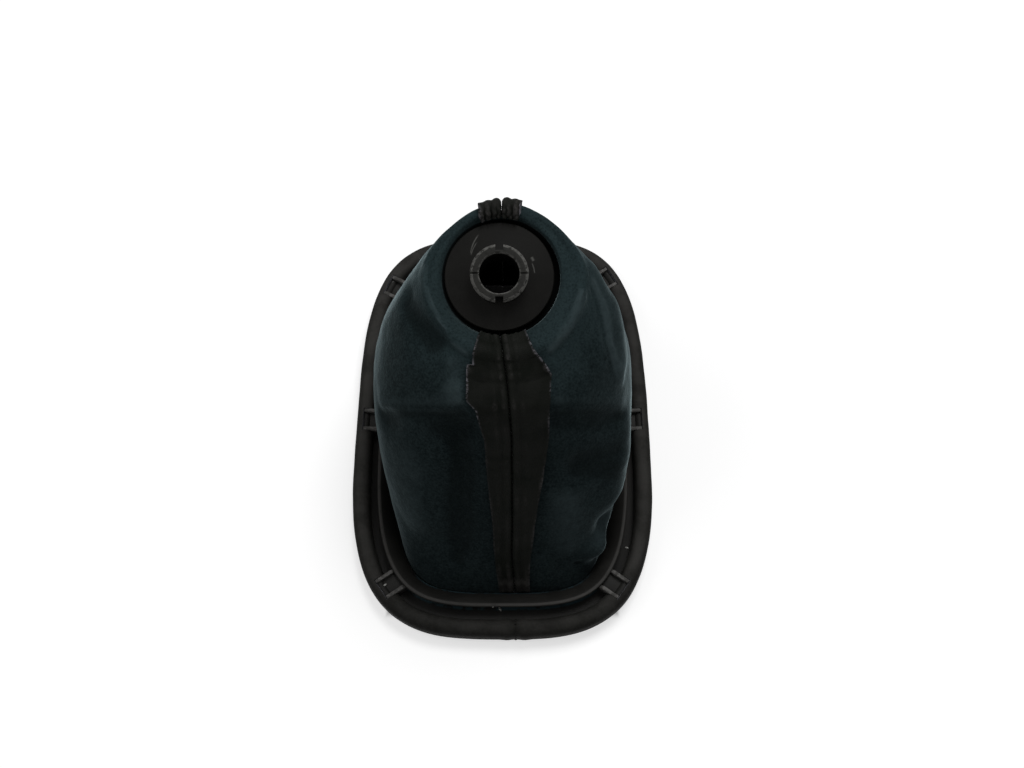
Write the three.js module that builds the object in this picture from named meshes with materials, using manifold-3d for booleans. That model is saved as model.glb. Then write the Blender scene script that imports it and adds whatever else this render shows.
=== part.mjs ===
// A gear lever gaiter, turned inside out and standing on its frame.
// Two leather panels are sewn together at the front and the rear. Their top edge is held under a
// slotted collar, and their bottom edge goes under the frame, round its rim and into its channel.
// Millimetres, +Z up, +X to the right, and the front seam faces -Y. The origin is in the middle of
// the frame, on the surface that it stands on.
import * as THREE from "three";
import { mergeVertices } from "three/addons/utils/BufferGeometryUtils.js";
import Module from "manifold-3d";

const wasm = await Module();
wasm.setup();

// Leather, thread and fits
const leatherThickness = 1.2;
const fitGap = 0.3; // between pieces that touch
const threadRadius = 0.3;
const seamGap = 2 * (threadRadius + fitGap); // the open slot between the panels
const foldSetback = 0.1; // an allowance is narrower than its strip of panel by this at each edge

// Frame, in plan
const frameHalfWidth = 58.7;
const frameHalfLength = 84.1;
const nearSquareness = 3.15; // 2 is an ellipse, and more is squarer
const farSquareness = 3.7;
const frameTaper = 0.062; // the far end is narrower by this share, and the near end wider

// Frame, in section. An inset is a distance inwards from the outside of the leather
const rimWidth = 7.2;
const rimHeight = 10;
const baseCorner = 2.6;
const openingInset = 17;
const openingCorner = 1.9;
const webThickness = 2;
const lipInset = 9.6;
const lipHeight = 9.9;
const lipFoot = 14.8;
const frontInset = 1.8; // the lip and the opening stand this much further in at the front
const leatherHem = 1.9; // how far the leather's edge goes down into the channel

// Ribs in pairs across the channel, placed by their angle round the frame
const ribPairAngles = [4.5, 175.5, 54, 129, -55, -125];
const ribSpacing = 7.6;
const ribThickness = 1.4;
const ribHeight = 9.7;
const ribInset = 2.9;
const saddleHeight = 7.6; // the frame is raised to here between the two ribs of a pair
const notchGap = 0.6; // from a rib to the cut edge of the leather

// Sleeve, at its widest, from its front to its rear above the frame, and up to its highest point.
// Its rings, folds and seams below are in hundredths of these
const sleeveWidth = 97;
const sleeveLength = 119;
const sleeveHeight = 111.7;

// Collar
const collarPlace = new THREE.Vector3(
  -0.008247 * sleeveWidth, 0.22185 * sleeveLength, 0.931065 * sleeveHeight);
const collarTilt = 14; // degrees, towards the front seam
const discRadius = 19.9;
const discThickness = 2.4;
const boreRadius = 7.3;
const tubeRadius = 10.6;
const tubeHeight = 8;
const tubeLip = 2.4; // height of the thicker lip at the tube's end
const tubeNeck = 0.5; // how far the wall steps in below the lip
const tubeChamfer = 0.9;
const bossRadius = 10;
const bossLength = 9;
const beadDepth = 0.7;
const beadHeight = 1.4;
const keywayWidth = 2.9;
const keywayRadius = 8.4; // a keyway cuts the wall from here outwards
const nickWidth = 0.6;
const nickDepth = 0.8;

// Clamp ring, which holds the leather against the disc from below
const clampThickness = 1.8;
const clampRadius = 17.4;

// The leather's top edge, as radius and height in the collar's own frame
const underDisc = -discThickness - fitGap - leatherThickness / 2;
const collarRings = [
  [bossRadius + 2.3, underDisc],
  [discRadius - 3, underDisc],
  [discRadius - 0.6, underDisc],
  [discRadius + 1.9, -1.8],
  [discRadius + 2.8, 0.6],
];

// The body from the crest down: x at the left and the right, y and z at the sides, then [y, z] in
// front and behind, and how square the front and rear halves are. 2 is an ellipse
const bodyRings = [
  { x: [-26.19, 27.42], sides: [22.02, 93.82], front: [0.84, 89.7],
    rear: [41.6, 99.82], square: [2, 1.8] },
  { x: [-28.66, 30.52], sides: [21.85, 94.81], front: [-2.44, 91.14],
    rear: [43.11, 100], square: [2, 1.75] },
  { x: [-31.34, 32.99], sides: [21.34, 90.96], front: [-5.38, 88.81],
    rear: [44.45, 96.87], square: [2.05, 1.7] },
  { x: [-34.85, 36.7], sides: [20.17, 85.5], front: [-10.08, 86.3],
    rear: [45.38, 89.53], square: [2.1, 1.7] },
  { x: [-40.21, 42.27], sides: [17.23, 76.99], front: [-16.47, 82.54],
    rear: [46.39, 78.78], square: [2.2, 1.7] },
  { x: [-46.19, 46.8], sides: [12.61, 64.46], front: [-22.35, 71.62],
    rear: [47.9, 64.46], square: [2.4, 1.8] },
  { x: [-49.69, 50.1], sides: [7.56, 49.24], front: [-31.09, 54.61],
    rear: [49.75, 49.24], square: [2.5, 2] },
  { x: [-49.69, 50.31], sides: [3.36, 34.02], front: [-39.16, 36.71],
    rear: [51.6, 34.02], square: [2.7, 2.3] },
  { x: [-47.63, 48.04], sides: [0.5, 18.8], front: [-46.72, 18.8],
    rear: [53.28, 18.8], square: [2.9, 2.8] },
];
const rootStation = collarRings.length + bodyRings.length;

// Folds of the skin. Each one raises a ridge along a line, or sinks a hollow if its height is
// negative. They are listed from the crest down
const folds = [
  { from: [-35.05, 17.65, 85.94], to: [-23.71, 2.52, 88.63], width: 5.15, height: -1.65 },
  { from: [-18.56, -4.2, 87.74], to: [-17.53, -10.08, 85.05], width: 4.64, height: 1.24 },
  { from: [33.51, 26.05, 87.74], to: [44.33, 1.68, 68.04], width: 4.74, height: 1.86 },
  { from: [41.24, 18.49, 76.99], to: [46.39, 6.72, 66.25], width: 5.15, height: 1.24 },
  { from: [-45.36, -6.72, 59.09], to: [-14.43, -15.13, 84.15], width: 5.15, height: 1.24 },
  { from: [14.43, -14.62, 83.89], to: [44.33, -6.72, 60.88], width: 5.15, height: 1.03 },
  { from: [-43.3, -11.76, 56.4], to: [-14.43, -20.17, 74.31], width: 6.7, height: -1.65 },
  { from: [19.59, -18.49, 74.31], to: [42.27, -12.61, 59.09], width: 6.19, height: -1.34 },
  { from: [-35.05, -16.81, 62.67], to: [-32.99, -35.29, 30.44], width: 8.25, height: 1.44 },
  { from: [-14.43, -26.05, 63.56], to: [-16.49, -42.86, 26.86], width: 7.22, height: -1.65 },
  { from: [28.87, -25.21, 55.51], to: [43.3, -18.49, 48.34], width: 6.19, height: -1.65 },
  { from: [24.74, -33.61, 42.97], to: [26.8, -42.02, 23.28], width: 9.28, height: 1.24 },
  { from: [39.18, -34.45, 17.91], to: [36.6, -41.18, 12.53], width: 6.19, height: 1.86 },
];

// x of the seams at even steps from the collar down to the root
const frontSeamX = [-0.82, -0.82, -0.72, 0.52, 1.96, 3.71, 3.92, 3.81];
const rearSeamX = [-0.31, -0.31, -0.21, 0, 0, 0, 0, 0];

// Seam allowances, folded back against the panels, as [station down the skin, width]. The widths are
// in hundredths of the sleeve's width
const frontLeftAllowance = [
  [4.05, 8.04], [5, 9.69], [6, 11.03], [7.15, 12.06], [7.3, 14.54], [8, 15.26], [8.8, 15.67], [9.05, 12.37],
  [10, 9.9], [11, 9.07], [12, 7.63], [13, 6.7], [13.65, 6.49],
];
const frontRightAllowance = [
  [4.05, 10.31], [5, 10.82], [6, 11.55], [7.15, 14.23], [8, 16.7], [9.05, 14.23], [10, 13.4], [11, 11.13],
  [12, 8.87], [13, 7.22], [13.65, 6.49],
];
const rearLeftAllowance = [[4.05, 8.04], [5, 8.45], [8, 8.25], [13.65, 6.7]];
const rearRightAllowance = [[4.05, 6.8], [5, 7.01], [8, 7.22], [13.65, 6.7]];

// Steps of the faceted surfaces
const panelColumns = 24;
const allowanceColumns = 2;
const collarSegments = 36;

const halfLeather = leatherThickness / 2;
const { degToRad, lerp, clamp } = THREE.MathUtils;
const point2 = (x, y) => new THREE.Vector2(x, y);

// A value at share 0 to 1 along a list
function along(list, share) {
  const place = clamp(share, 0, 1) * (list.length - 1);
  const index = Math.min(Math.floor(place), list.length - 2);
  return lerp(list[index], list[index + 1], place - index);
}

// A value at a station between the pairs of a list
function atStation(pairs, station) {
  const next = pairs.findIndex((pair, index) => index > 0 && pair[0] >= station);
  const [from, to] = next > 0 ? [pairs[next - 1], pairs[next]] : pairs.slice(-2);
  return lerp(from[1], to[1], clamp((station - from[0]) / (to[0] - from[0]), 0, 1));
}

function superellipse(angle, halfWidth, halfLength, square) {
  const across = Math.abs(Math.cos(angle) / halfWidth) ** square;
  const lengthways = Math.abs(Math.sin(angle) / halfLength) ** square;
  return (across + lengthways) ** (-1 / square);
}

// The frame's outline in plan
function outline(angle) {
  const farShare = 0.5 + 0.5 * Math.tanh(3 * Math.sin(angle));
  const square = lerp(nearSquareness, farSquareness, farShare);
  const radius = superellipse(angle, frameHalfWidth, frameHalfLength, square);
  const y = radius * Math.sin(angle);
  return point2(radius * Math.cos(angle) * (1 - (frameTaper * y) / frameHalfLength), y);
}

function inwards(angle) {
  const step = 1e-3;
  const tangent = outline(angle + step).sub(outline(angle - step)).normalize();
  return point2(-tangent.y, tangent.x);
}

function onFrame(angle, inset, height) {
  const lipShare = clamp((inset - rimWidth) / (lipInset - rimWidth), 0, 1);
  const extra = frontInset * lipShare * Math.max(0, -Math.sin(angle)) ** 2;
  const place = outline(angle).add(inwards(angle).multiplyScalar(inset + extra));
  return new THREE.Vector3(place.x, place.y, height);
}

function arc(centreX, centreY, radius, fromDegrees, toDegrees, steps) {
  return Array.from({ length: steps + 1 }, (_, i) => {
    const angle = degToRad(lerp(fromDegrees, toDegrees, i / steps));
    return point2(centreX + radius * Math.cos(angle), centreY + radius * Math.sin(angle));
  });
}

// The line from the frame's opening, under the frame and up over its rim, as inset and height.
// It is the leather's middle line, or runs beside it at an offset towards the frame
function wrapLine(offset) {
  const openingCentre = openingInset + fitGap + halfLeather - openingCorner;
  const rollRadius = (rimWidth - leatherThickness) / 2;
  const rollHeight = rimHeight - halfLeather - rollRadius;
  return [
    ...arc(openingCentre, halfLeather + openingCorner, openingCorner - offset, 0, -90, 2),
    ...arc(halfLeather + baseCorner, halfLeather + baseCorner, baseCorner - offset, -90, -180, 3),
    ...arc(rimWidth / 2, rollHeight, rollRadius - offset, 180, 0, 5),
  ];
}

function leatherWrap() {
  const line = wrapLine(0);
  const edge = line[line.length - 1];
  return [...line, point2(edge.x, edge.y - leatherHem)];
}

const wrapPoints = leatherWrap();
const wrapSteps = wrapPoints.length - 1;
const collarFrame = new THREE.Matrix4().makeRotationX(degToRad(collarTilt)).setPosition(collarPlace);

function onCollarRing([radius, height], angle) {
  const place = new THREE.Vector3(radius * Math.cos(angle), radius * Math.sin(angle), height);
  return place.applyMatrix4(collarFrame);
}

// Hundredths of the sleeve's sizes as millimetres
const ofWidth = (share) => (share * sleeveWidth) / 100;
const inProfile = ([y, z]) => [(y * sleeveLength) / 100, (z * sleeveHeight) / 100];
const inSleeve = ([x, ...profile]) => new THREE.Vector3(ofWidth(x), ...inProfile(profile));

function onBodyRing(ring, angle) {
  const [left, right] = ring.x.map(ofWidth);
  const [sideY, sideZ] = inProfile(ring.sides);
  const facing = Math.sin(angle);
  const [endY, endZ] = inProfile(facing < 0 ? ring.front : ring.rear);
  const square = ring.square[facing < 0 ? 0 : 1];
  const radius = superellipse(angle, (right - left) / 2, Math.abs(endY - sideY), square);
  const height = lerp(sideZ, endZ, facing * facing);
  return new THREE.Vector3((left + right) / 2 + radius * Math.cos(angle), sideY + radius * facing, height);
}

// The smooth skin, without folds. Stations run from 0 at the collar to the root at the frame, and
// one more takes in the wrap round the frame to the hem
function smoothSkin(station, angle) {
  if (station > rootStation) {
    const place = Math.min(station - rootStation, 1) * wrapSteps;
    const index = Math.min(Math.floor(place), wrapSteps - 1);
    const spot = wrapPoints[index].clone().lerp(wrapPoints[index + 1], place - index);
    return onFrame(angle, spot.x, spot.y);
  }
  const points = collarRings.map((ring) => onCollarRing(ring, angle));
  points.push(...bodyRings.map((ring) => onBodyRing(ring, angle)));
  points.push(onFrame(angle, wrapPoints[0].x, wrapPoints[0].y));
  return new THREE.CatmullRomCurve3(points).getPoint(Math.max(station, 0) / rootStation);
}

function normalOf(surface, station, angle) {
  const step = 1e-3;
  const down = surface(station + step, angle).sub(surface(station - step, angle));
  const round = surface(station, angle + step).sub(surface(station, angle - step));
  return down.cross(round).normalize();
}

function foldHeight(place) {
  const nearest = new THREE.Vector3();
  return folds.reduce((sum, { from, to, width, height }) => {
    const line = new THREE.Line3(inSleeve(from), inSleeve(to));
    const distance = line.closestPointToPoint(place, true, nearest).distanceTo(place);
    return sum + ofWidth(height) * Math.exp(-((distance / ofWidth(width)) ** 2));
  }, 0);
}

// The skin's middle surface with its folds
function skin(station, angle) {
  const place = smoothSkin(station, angle);
  if (station > rootStation) return place;
  return place.addScaledVector(normalOf(smoothSkin, station, angle), foldHeight(place));
}

// Seams, as an angle at a station. side is -1 for the front and 1 for the rear
function seamAngle(side, station) {
  const level = Math.min(station, rootStation);
  const middle = (side * Math.PI) / 2;
  const radius = Math.abs(skin(level, middle).y - skin(level, 0).y);
  const seamX = ofWidth(along(side < 0 ? frontSeamX : rearSeamX, level / rootStation));
  const offset = seamX - skin(level, middle).x;
  return middle - side * Math.asin(clamp(offset / Math.max(radius, 12), -0.9, 0.9));
}

// The angle that a length along the skin takes up beside a seam
function angleFor(length, side, station) {
  const level = Math.min(station, rootStation);
  const angle = (side * Math.PI) / 2;
  const step = 1e-2;
  return (length * 2 * step) / skin(level, angle + step).distanceTo(skin(level, angle - step));
}

// hand is 1 for the right panel and -1 for the left
function allowancePairs(side, hand) {
  if (side < 0) return hand > 0 ? frontRightAllowance : frontLeftAllowance;
  return hand > 0 ? rearRightAllowance : rearLeftAllowance;
}

// The columns across a seam allowance, as angles away from the seam
function allowanceAngles(side, hand, station) {
  const width = ofWidth(atStation(allowancePairs(side, hand), station));
  return Array.from({ length: allowanceColumns + 1 }, (_, i) =>
    angleFor(seamGap / 2 + (width * i) / allowanceColumns, side, station));
}

// All columns of a panel at a station, closer together at the corners of the frame
function panelAngles(hand, station) {
  const startSide = -hand;
  const start = seamAngle(startSide, station);
  const end = seamAngle(-startSide, station) + (hand < 0 ? 2 * Math.PI : 0);
  const fromStart = allowanceAngles(startSide, hand, station).map((angle) => start + angle);
  const toEnd = allowanceAngles(-startSide, hand, station).map((angle) => end - angle).reverse();
  const between = panelColumns - 2 * allowanceColumns;
  const middle = Array.from({ length: between - 1 }, (_, i) => {
    const share = (i + 1) / between;
    return lerp(fromStart.at(-1), toEnd[0], share + (0.1 / Math.PI) * Math.sin(4 * Math.PI * share));
  });
  return [...fromStart, ...middle, ...toEnd];
}

// A sheet of leather that follows the skin, with columns at the angles that anglesAt gives for a row
function sheet(rows, anglesAt, below, above) {
  const angles = rows.map(anglesAt);
  const slab = new THREE.BoxGeometry(1, 1, 1, rows.length - 1, angles[0].length - 1, 1);
  const positions = slab.getAttribute("position");
  for (let i = 0; i < positions.count; i += 1) {
    const row = Math.round((positions.getX(i) + 0.5) * (rows.length - 1));
    const column = Math.round((positions.getY(i) + 0.5) * (angles[0].length - 1));
    const angle = angles[row][column];
    const offset = positions.getZ(i) > 0 ? above : below;
    const place = skin(rows[row], angle).addScaledVector(normalOf(skin, rows[row], angle), offset);
    positions.setXYZ(i, place.x, place.y, place.z);
  }
  return slab;
}

function toSolid(geometry) {
  const bare = geometry.clone();
  bare.deleteAttribute("normal");
  bare.deleteAttribute("uv");
  const merged = mergeVertices(bare, 1e-4);
  const mesh = new wasm.Mesh({
    numProp: 3,
    vertProperties: new Float32Array(merged.attributes.position.array),
    triVerts: new Uint32Array(merged.index.array),
  });
  return new wasm.Manifold(mesh);
}

function toMesh(solid, name, colour, roughness) {
  const made = solid.getMesh();
  const geometry = new THREE.BufferGeometry();
  geometry.setAttribute("position", new THREE.BufferAttribute(made.vertProperties, 3));
  geometry.setIndex(new THREE.BufferAttribute(made.triVerts, 1));
  geometry.computeVertexNormals();
  const material = new THREE.MeshStandardMaterial({ color: colour, roughness, metalness: 0 });
  const mesh = new THREE.Mesh(geometry, material);
  mesh.name = name;
  return mesh;
}

// A block placed on the frame: x is the inset, y the height and z the way along the rim
function placeOnFrame(geometry, angle, aside) {
  const inward = inwards(angle);
  const start = outline(angle);
  const xAxis = new THREE.Vector3(inward.x, inward.y, 0);
  const zAxis = new THREE.Vector3(inward.y, -inward.x, 0);
  const place = new THREE.Matrix4().makeBasis(xAxis, new THREE.Vector3(0, 0, 1), zAxis);
  place.setPosition(start.x + zAxis.x * aside, start.y + zAxis.y * aside, 0);
  return toSolid(geometry.applyMatrix4(place));
}

// Leather panels
const panelRows = [0, 1, 2, 7.15, 7.3, 8.8, 9.05];
for (let station = 2.5; station <= rootStation; station += 0.5) {
  if (panelRows.every((row) => Math.abs(row - station) > 0.19)) panelRows.push(station);
}
for (let i = 1; i <= wrapSteps; i += 1) panelRows.push(rootStation + i / wrapSteps);
panelRows.sort((one, other) => one - other);

function panelSheet(hand) {
  return toSolid(sheet(panelRows, (station) => panelAngles(hand, station), -halfLeather, halfLeather));
}

// An allowance lies on the outside of its panel
function allowance(side, hand) {
  const pairs = allowancePairs(side, hand);
  const [top, bottom] = [pairs[0][0], pairs.at(-1)[0]];
  const rows = [top, ...panelRows.filter((row) => row > top && row < bottom), bottom];
  const turn = -side * hand;
  const anglesAt = (station) => {
    const angles = allowanceAngles(side, hand, station);
    angles[0] += angleFor(foldSetback, side, station);
    angles[allowanceColumns] -= angleFor(foldSetback, side, station);
    const placed = angles.map((angle) => seamAngle(side, station) + turn * angle);
    return turn > 0 ? placed : placed.reverse();
  };
  return toSolid(sheet(rows, anglesAt, -0.1, leatherThickness + halfLeather));
}

// The leather is cut away round each pair of ribs
function ribNotch(angle) {
  const width = ribSpacing + ribThickness + 2 * notchGap;
  const fromInset = ribInset - notchGap;
  const block = new THREE.BoxGeometry(rimWidth + 1 - fromInset, rimHeight, width);
  block.translate((rimWidth + 1 + fromInset) / 2, rimHeight / 2 + 4, 0);
  return placeOnFrame(block, degToRad(angle), 0);
}

function leatherPanel(hand) {
  const folded = panelSheet(hand).add(allowance(-1, hand)).add(allowance(1, hand));
  return ribPairAngles.reduce((solid, angle) => solid.subtract(ribNotch(angle)), folded);
}

// Frame
function frameSection() {
  const under = wrapLine(halfLeather + fitGap);
  const rimInside = under[under.length - 1].x;
  const floor = halfLeather + leatherThickness + webThickness;
  const outer = new THREE.QuadraticBezierCurve(
    point2(lipFoot, floor), point2(lipFoot - 1.8, lipHeight - 3), point2(lipInset, lipHeight - 0.9));
  const inner = new THREE.QuadraticBezierCurve(
    point2(lipInset + 1.4, lipHeight - 0.1), point2(openingInset - 2, 8), under[0]);
  return [
    ...under,
    point2(rimInside, floor),
    ...outer.getPoints(3),
    point2(lipInset + 0.3, lipHeight - 0.2),
    point2(lipInset + 0.8, lipHeight),
    ...inner.getPoints(4),
  ];
}

function frameRing() {
  const angles = [1, -1].flatMap((hand) => panelAngles(hand, rootStation));
  angles.push(angles[0] + 2 * Math.PI);
  const section = frameSection();
  const ring = new THREE.LatheGeometry(section, angles.length - 1);
  const positions = ring.getAttribute("position");
  for (let i = 0; i < positions.count; i += 1) {
    const spot = section[i % section.length];
    const place = onFrame(angles[Math.floor(i / section.length) % (angles.length - 1)], spot.x, spot.y);
    positions.setXYZ(i, place.x, place.y, place.z);
  }
  return toSolid(ring);
}

// A plate across the channel, of a width along the rim
function channelPlate(corners, width, angle, aside) {
  const plate = new THREE.ExtrudeGeometry(new THREE.Shape(corners), { depth: width, bevelEnabled: false });
  return placeOnFrame(plate.translate(0, 0, -width / 2), degToRad(angle), aside);
}

function ribPair(angle) {
  const foot = [point2(ribInset, 3), point2(lipFoot + 1, 3), point2(lipFoot - 1.1, 6.4)];
  const rib = [
    ...foot, point2(lipInset + 0.9, lipHeight - 0.6), point2(lipInset + 0.3, ribHeight),
    point2(ribInset, ribHeight),
  ];
  const saddle = [...foot, point2(lipFoot - 2.3, saddleHeight), point2(ribInset, saddleHeight)];
  const aside = ribSpacing / 2;
  return channelPlate(saddle, ribSpacing, angle, 0)
    .add(channelPlate(rib, ribThickness, angle, -aside))
    .add(channelPlate(rib, ribThickness, angle, aside));
}

function frame() {
  return ribPairAngles.reduce((solid, angle) => solid.add(ribPair(angle)), frameRing());
}

// Collar and clamp ring, made round their own axis and then tilted into place
function turned(profile) {
  const lathe = new THREE.LatheGeometry([...profile, profile[0]], collarSegments);
  return toSolid(lathe.rotateX(Math.PI / 2).applyMatrix4(collarFrame));
}

function collarCut(width, depth, height, x, y, z) {
  const block = new THREE.BoxGeometry(width, depth, height).translate(x, y, z);
  return toSolid(block.applyMatrix4(collarFrame));
}

const clampTop = underDisc - halfLeather - fitGap;
const clampBottom = clampTop - clampThickness;

function collar() {
  const foot = -discThickness - bossLength;
  const beadTop = clampBottom - fitGap;
  const neck = tubeRadius - tubeNeck;
  const body = turned([
    point2(boreRadius, foot),
    point2(bossRadius - 0.6, foot),
    point2(bossRadius, foot + 0.6),
    point2(bossRadius, beadTop - beadHeight),
    point2(bossRadius + beadDepth, beadTop - beadHeight / 3),
    point2(bossRadius, beadTop),
    point2(bossRadius, -discThickness),
    point2(discRadius - 0.3, -discThickness),
    point2(discRadius, 0.3 - discThickness),
    point2(discRadius, -0.3),
    point2(discRadius - 0.3, 0),
    point2(neck, 0),
    point2(neck, tubeHeight - tubeLip - tubeNeck),
    point2(tubeRadius, tubeHeight - tubeLip),
    point2(tubeRadius, tubeHeight - tubeChamfer),
    point2(tubeRadius - tubeChamfer, tubeHeight),
    point2(boreRadius + 0.5, tubeHeight),
    point2(boreRadius, tubeHeight - 0.5),
  ]);
  const keyway = keywayRadius + 2;
  const cuts = [-1, 1].flatMap((end) => [
    collarCut(keywayWidth, 4, tubeHeight, 0, end * keyway, tubeHeight / 2 + 0.01),
    collarCut(tubeRadius, nickWidth, nickDepth * 2, end * tubeRadius, 0, tubeHeight),
  ]);
  return cuts.reduce((solid, cut) => solid.subtract(cut), body);
}

function clampRing() {
  const edge = 0.3;
  return turned([
    point2(bossRadius + fitGap, clampBottom),
    point2(clampRadius - edge, clampBottom),
    point2(clampRadius, clampBottom + edge),
    point2(clampRadius, clampTop - edge),
    point2(clampRadius - edge, clampTop),
    point2(bossRadius + fitGap, clampTop),
  ]);
}

// A seam's thread lies in the slot between the panels, from under the collar to the hem
function seamThread(side) {
  const stations = panelRows.filter((station) => station >= 2);
  const path = new THREE.CatmullRomCurve3(
    stations.map((station) => skin(station, seamAngle(side, station))));
  const section = new THREE.Shape().absarc(0, 0, threadRadius, 0, 2 * Math.PI);
  const options = { steps: 48, extrudePath: path, curveSegments: 3 };
  return toSolid(new THREE.ExtrudeGeometry(section, options));
}

const gaiter = new THREE.Group();
gaiter.name = "gear_lever_gaiter";
gaiter.add(
  toMesh(frame(), "frame", "#1c1d1e", 0.5),
  toMesh(leatherPanel(1), "leather_panel_right", "#20414a", 0.95),
  toMesh(leatherPanel(-1), "leather_panel_left", "#20414a", 0.95),
  toMesh(collar(), "collar", "#191a1b", 0.45),
  toMesh(clampRing(), "clamp_ring", "#191a1b", 0.5),
  toMesh(seamThread(-1), "front_seam_thread", "#141516", 0.8),
  toMesh(seamThread(1), "rear_seam_thread", "#141516", 0.8),
);

export default gaiter;
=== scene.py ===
# A gear lever gaiter turned inside out, on its frame.
# Sizes in the tables are millimetres, as in the CAD part, and the meshes are in metres.
from math import cos, pi, radians, sin

import bmesh
import bpy
import numpy as np
from mathutils import Matrix, Vector, noise


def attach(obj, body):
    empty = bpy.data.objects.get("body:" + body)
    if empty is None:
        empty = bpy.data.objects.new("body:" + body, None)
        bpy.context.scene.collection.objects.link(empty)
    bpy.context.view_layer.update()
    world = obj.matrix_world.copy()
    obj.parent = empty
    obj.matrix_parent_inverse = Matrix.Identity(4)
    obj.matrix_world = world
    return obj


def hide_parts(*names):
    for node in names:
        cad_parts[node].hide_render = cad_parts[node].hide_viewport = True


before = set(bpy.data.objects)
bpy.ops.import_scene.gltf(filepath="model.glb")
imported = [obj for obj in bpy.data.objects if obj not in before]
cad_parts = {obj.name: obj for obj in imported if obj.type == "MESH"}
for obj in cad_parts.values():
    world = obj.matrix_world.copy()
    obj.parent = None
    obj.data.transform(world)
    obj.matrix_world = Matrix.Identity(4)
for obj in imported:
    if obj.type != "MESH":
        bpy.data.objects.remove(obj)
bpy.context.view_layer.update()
mm = 0.001


def meshFrom(shape, name):
    mesh = bpy.data.meshes.new(name)
    shape.to_mesh(mesh)
    shape.free()
    return mesh


def linked(name, data):
    item = bpy.data.objects.new(name, data)
    bpy.context.collection.objects.link(item)
    return item


def lathe(shape, profile, steps):
    # profile is radius and height, round the z axis
    spots = [shape.verts.new((radius, 0, height)) for radius, height in profile]
    edges = [shape.edges.new((one, spots[(i + 1) % len(spots)])) for i, one in enumerate(spots)]
    bmesh.ops.spin(shape, geom=spots + edges, cent=(0, 0, 0), axis=(0, 0, 1), angle=2 * pi,
                   steps=steps, use_merge=True)
    bmesh.ops.remove_doubles(shape, verts=shape.verts[:], dist=1e-4)


# Camera, at the photograph's angle
view = {"lens": 73.96, "sensor": 36, "place": (0.00376, -0.27056, 0.80607), "tilt": 20}


def addCamera():
    data = bpy.data.cameras.new("camera")
    data.lens = view["lens"]
    data.sensor_width = view["sensor"]
    item = linked("camera", data)
    item.location = view["place"]
    item.rotation_euler = (radians(view["tilt"]), 0, 0)
    bpy.context.scene.camera = item


addCamera()

leather = {
    "thickness": 1.2,
    "gap": 0.3,          # to the frame and the collar
    "slot": {-1: 0.15, 1: 0.14},  # between the two panels at the front and the rear seam
    "rimSlot": 0.3,      # the same on the rim
    "rimGroove": 0.5,    # how far the turned edges sink there
    "turn": 0.62,        # radius of the fold at a seam
    "folded": {-1: (4.05, 13.9), 1: (3.95, 13.65)},  # stations of the ends of the front and rear allowances
    "lift": 0.3,         # how far the allowances stand off their panels
    "step": 1.1,         # size of a face
    "columns": 150,
    "soften": 0.3,       # height of the soft unevenness of the skin
    "lean": (155, 0.95, 0.9),  # where it leans on the disc, how far there and how far away opposite
}

frameShape = {
    "halfWidth": 58.7, "halfLength": 84.1, "nearSquare": 3.15, "farSquare": 3.7, "taper": 0.062,
    "rimWidth": 7.2, "rimHeight": 10, "baseCorner": 2.6, "openingInset": 17, "openingCorner": 1.9,
    "web": 2, "lipInset": 9.6, "lipHeight": 9.9, "lipFoot": 14.8, "frontInset": 1.8, "hem": 2.3,
    "steps": 320,
}

ribs = {
    "pairs": (4.5, 175.5, 54, 129, -55, -125), "spacing": 7.6, "thickness": 1.4, "height": 9.7,
    "inset": 2.9, "notchGap": 0.15, "notchDepth": 8.5, "notchFoot": 4, "saddleHeight": 7.6,
}

collarShape = {
    "place": (-0.8, 26.4, 104), "tilt": 14, "disc": 19.9, "discThickness": 2.4, "bore": 7.3,
    "tube": 10.6, "tubeHeight": 8, "lip": 2.4, "neck": 0.5, "chamfer": 0.9, "boss": 10,
    "bossLength": 9, "beadDepth": 0.7, "beadHeight": 1.4, "keyway": 2.9, "keywayRadius": 8.4,
    "nick": 0.6, "nickDepth": 0.8, "clampRing": 1.8, "steps": 120, "softEdge": 0.14,
}

# The sleeve from the collar down. Radius and height in the collar's own frame first
collarRings = [(12.3, -3.3), (16.9, -3.3), (19.3, -3.3), (21.8, -1.8), (22.7, 0.6)]
bodyRings = [  # x left and right, side y and z, front y and z, rear y and z, squareness
    (-25.4, 26.6, 26.2, 104.8, 1, 100.2, 49.5, 111.5, 2, 1.8),
    (-27.8, 29.6, 26, 105.9, -2.9, 101.8, 51.3, 111.7, 2, 1.75),
    (-30.4, 32, 25.4, 101.6, -6.4, 99.2, 52.9, 108.2, 2.05, 1.7),
    (-33.8, 35.6, 24, 95.5, -12, 96.4, 54, 100, 2.1, 1.7),
    (-39, 41, 20.5, 86, -19.6, 92.2, 55.2, 88, 2.2, 1.7),
    (-44.8, 45.4, 15, 72, -26.6, 80, 57, 72, 2.4, 1.8),
    (-48.2, 48.6, 9, 55, -37, 61, 59.2, 55, 2.5, 2),
    (-48.2, 48.8, 4, 38, -46.6, 41, 61.4, 38, 2.7, 2.3),
    (-46.2, 46.6, 0.6, 21, -55.6, 21, 63.4, 21, 2.9, 2.8),
]
rootStation = 14

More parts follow.
